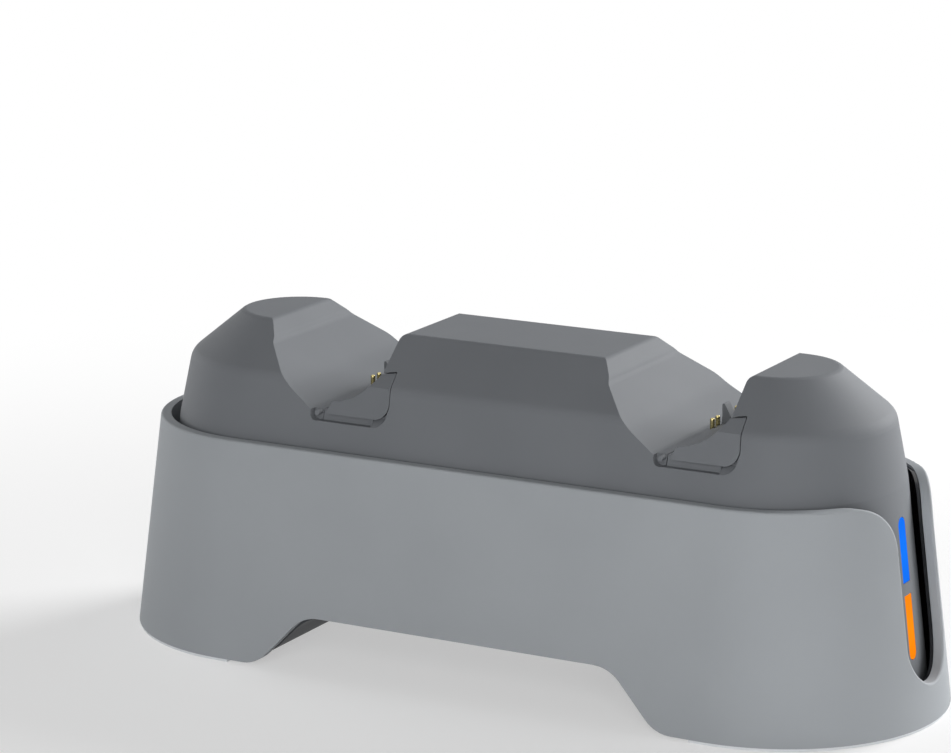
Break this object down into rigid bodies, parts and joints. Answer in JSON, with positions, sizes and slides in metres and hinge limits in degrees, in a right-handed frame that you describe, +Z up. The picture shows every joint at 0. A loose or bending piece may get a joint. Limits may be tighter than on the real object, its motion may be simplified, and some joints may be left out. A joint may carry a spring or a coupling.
{
  "type": "controller charging dock",
  "caption": "Low grey charging dock that holds game controllers side by side in sloping bays with sprung gold contacts, with a notched skirt and lit status bars at one end.",
  "frame": {"origin": "on the floor under the middle of the dock", "axes": "+X along the dock to the end with the lamps, +Z up, +Y to the far long side"},
  "size_m": [0.1796, 0.07, 0.0676],
  "materials": {
    "skirt_plastic": "light grey moulded plastic, satin",
    "body_plastic": "mid grey moulded plastic, satin",
    "cradle_plastic": "mid grey moulded plastic, satin",
    "base_plastic": "dark grey moulded plastic, matt",
    "liner_plastic": "black moulded plastic, gloss",
    "orange_lens": "lit orange lens, satin",
    "blue_lens": "lit blue lens, satin",
    "board_laminate": "green solder resist",
    "chip_resin": "black moulding resin",
    "socket_plastic": "off-white moulded plastic",
    "lamp_resin": "clear cast resin",
    "lead_film": "white laminated film",
    "pad_rubber": "pale silicone sheet, matt",
    "contact_gold": "gold plated",
    "inlet_steel": "drawn and plated",
    "screw_steel": "zinc plated"
  },
  "bodies": {
    "dock": {"base_plate": "base_plastic", "base_screws": "screw_steel", "board_chips": "chip_resin", "board_screws": "screw_steel", "board_sockets": "socket_plastic", "contact_barrels_front": "contact_gold", "contact_barrels_rear": "contact_gold", "contact_board_front": "board_laminate", "contact_board_rear": "board_laminate", "contact_screws_front": "screw_steel", "contact_screws_rear": "screw_steel", "cradle_front": "cradle_plastic", "cradle_rear": "cradle_plastic", "end_liner": "liner_plastic", "foot_pad_front": "pad_rubber", "foot_pad_rear": "pad_rubber", "lead_front": "lead_film", "lead_led": "lead_film", "lead_rear": "lead_film", "led_board": "board_laminate", "light_bar_lower": "orange_lens", "light_bar_upper": "blue_lens", "main_board": "board_laminate", "outer_skirt": "skirt_plastic", "skirt_screws": "screw_steel", "status_leds": "lamp_resin", "top_shell": "body_plastic", "usb_shell": "inlet_steel", "usb_tongue": "chip_resin"},
    "plunger_front_1": {"plunger_front_1": "contact_gold"},
    "plunger_front_2": {"plunger_front_2": "contact_gold"},
    "plunger_front_3": {"plunger_front_3": "contact_gold"},
    "plunger_front_4": {"plunger_front_4": "contact_gold"},
    "plunger_rear_1": {"plunger_rear_1": "contact_gold"},
    "plunger_rear_2": {"plunger_rear_2": "contact_gold"},
    "plunger_rear_3": {"plunger_rear_3": "contact_gold"},
    "plunger_rear_4": {"plunger_rear_4": "contact_gold"}
  },
  "joints": [
    {"name": "plunger_front_1_press", "type": "slide", "parent": "dock", "child": "plunger_front_1", "axis": [0, 0, -1], "range_m": [0, 0.0015], "stiffness_N_per_m": 400, "springref_m": -0.0005},
    {"name": "plunger_front_2_press", "type": "slide", "parent": "dock", "child": "plunger_front_2", "axis": [0, 0, -1], "range_m": [0, 0.0015], "stiffness_N_per_m": 400, "springref_m": -0.0005},
    {"name": "plunger_front_3_press", "type": "slide", "parent": "dock", "child": "plunger_front_3", "axis": [0, 0, -1], "range_m": [0, 0.0015], "stiffness_N_per_m": 400, "springref_m": -0.0005},
    {"name": "plunger_front_4_press", "type": "slide", "parent": "dock", "child": "plunger_front_4", "axis": [0, 0, -1], "range_m": [0, 0.0015], "stiffness_N_per_m": 400, "springref_m": -0.0005},
    {"name": "plunger_rear_1_press", "type": "slide", "parent": "dock", "child": "plunger_rear_1", "axis": [0, 0, -1], "range_m": [0, 0.0015], "stiffness_N_per_m": 400, "springref_m": -0.0005},
    {"name": "plunger_rear_2_press", "type": "slide", "parent": "dock", "child": "plunger_rear_2", "axis": [0, 0, -1], "range_m": [0, 0.0015], "stiffness_N_per_m": 400, "springref_m": -0.0005},
    {"name": "plunger_rear_3_press", "type": "slide", "parent": "dock", "child": "plunger_rear_3", "axis": [0, 0, -1], "range_m": [0, 0.0015], "stiffness_N_per_m": 400, "springref_m": -0.0005},
    {"name": "plunger_rear_4_press", "type": "slide", "parent": "dock", "child": "plunger_rear_4", "axis": [0, 0, -1], "range_m": [0, 0.0015], "stiffness_N_per_m": 400, "springref_m": -0.0005}
  ]
}
